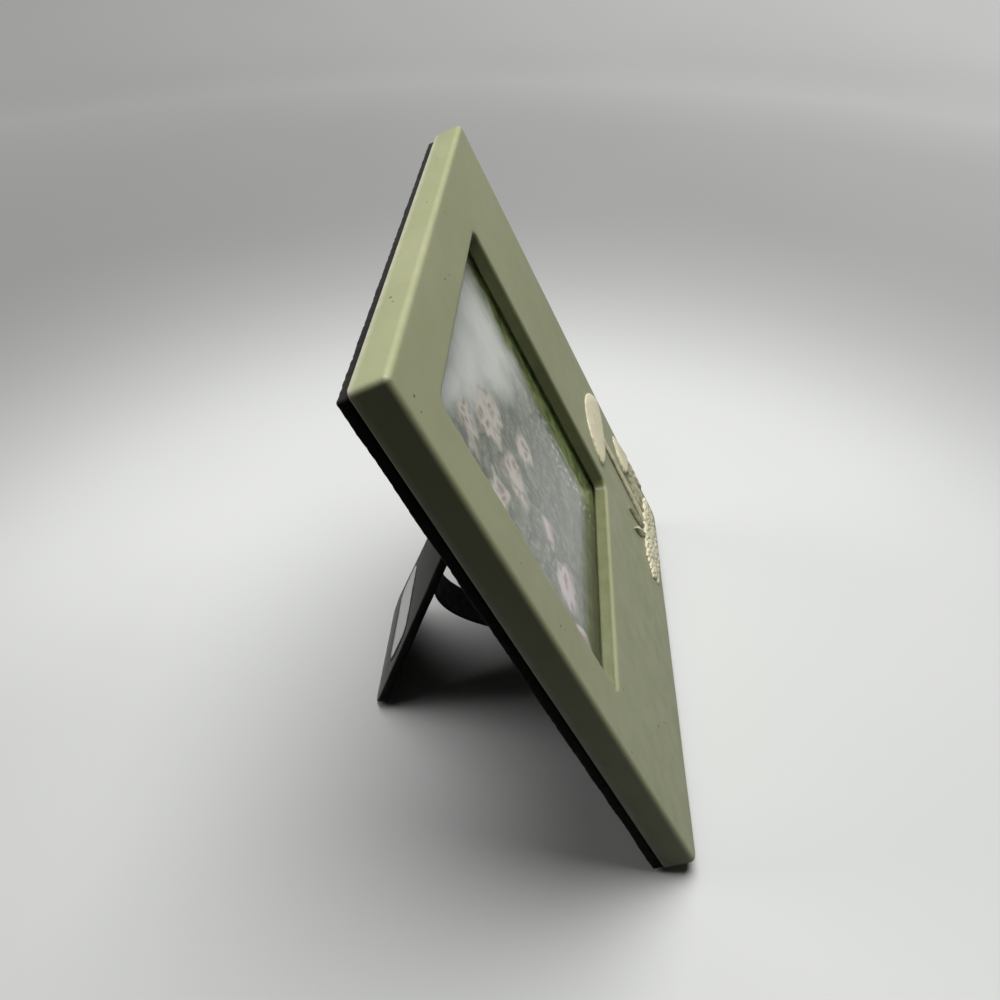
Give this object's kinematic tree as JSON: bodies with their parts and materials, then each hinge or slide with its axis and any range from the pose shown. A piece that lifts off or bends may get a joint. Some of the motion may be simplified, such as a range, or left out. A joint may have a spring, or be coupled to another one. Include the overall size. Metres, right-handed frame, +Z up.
{
  "type": "photo frame",
  "caption": "Glazed ceramic photo frame with a small toadstool relief and an offset square window, leaning on a hinged easel leg held by a ribbon stay.",
  "frame": {"origin": "on the surface the frame stands on, under the centre of its box", "axes": "+Z up; the picture faces -Y and leans back; +X to the right as seen from in front"},
  "size_m": [0.154, 0.0968, 0.1537],
  "materials": {
    "sage_glaze": "satin",
    "cream_glaze": "satin",
    "leaf_glaze": "satin",
    "clear_glass": "polished",
    "photo_paper": "satin",
    "grey_card": "matte",
    "black_velvet": "matte",
    "black_ribbon": "matte",
    "black_steel": "satin",
    "nickel_steel": "satin",
    "white_paper": "matte"
  },
  "bodies": {
    "frame": {"ceramic_frame": "sage_glaze", "toadstool_cap_large": "cream_glaze", "toadstool_stem_large": "cream_glaze", "toadstool_cap_small": "cream_glaze", "toadstool_stem_small": "cream_glaze", "toadstool_mound": "cream_glaze", "toadstool_leaf_1": "leaf_glaze", "toadstool_leaf_2": "leaf_glaze", "toadstool_leaf_3": "leaf_glaze", "toadstool_leaf_4": "leaf_glaze", "toadstool_leaf_5": "leaf_glaze", "glass_pane": "clear_glass", "photo_print": "photo_paper", "filler_card": "grey_card", "back_rim": "black_velvet", "back_panel": "black_velvet", "button_screw_left_lower": "nickel_steel", "button_screw_left_upper": "nickel_steel", "button_screw_right_lower": "nickel_steel", "button_screw_right_upper": "nickel_steel", "hinge_leaf_panel": "black_steel", "hinge_pin": "black_steel", "hinge_rivet_panel_left": "nickel_steel", "hinge_rivet_panel_right": "nickel_steel", "ribbon_tack_panel": "nickel_steel", "stay_ribbon": "black_ribbon"},
    "leg": {"easel_leg": "black_velvet", "leg_sticker": "white_paper", "hinge_leaf_leg": "black_steel", "hinge_rivet_leg_left": "nickel_steel", "hinge_rivet_leg_right": "nickel_steel", "ribbon_tack_leg": "nickel_steel"},
    "button_left_lower": {"turn_button_left_lower": "nickel_steel"},
    "button_left_upper": {"turn_button_left_upper": "nickel_steel"},
    "button_right_lower": {"turn_button_right_lower": "nickel_steel"},
    "button_right_upper": {"turn_button_right_upper": "nickel_steel"}
  },
  "joints": [
    {"name": "leg_hinge", "type": "hinge", "parent": "frame", "child": "leg", "pos_m": [0, 0.01154, 0.09381], "axis": [1, 0, 0], "range_deg": [-44.4, 10], "deforming": ["stay_ribbon"]},
    {"name": "turn_left_lower", "type": "hinge", "parent": "frame", "child": "button_left_lower", "pos_m": [-0.0708, -0.01741, 0.03896], "axis": [0, 0.8957, -0.4446], "continuous": true},
    {"name": "turn_left_upper", "type": "hinge", "parent": "frame", "child": "button_left_upper", "pos_m": [-0.0708, 0.01727, 0.10883], "axis": [0, 0.8957, -0.4446], "continuous": true},
    {"name": "turn_right_lower", "type": "hinge", "parent": "frame", "child": "button_right_lower", "pos_m": [0.0708, -0.01741, 0.03896], "axis": [0, 0.8957, -0.4446], "continuous": true},
    {"name": "turn_right_upper", "type": "hinge", "parent": "frame", "child": "button_right_upper", "pos_m": [0.0708, 0.01727, 0.10883], "axis": [0, 0.8957, -0.4446], "continuous": true}
  ]
}
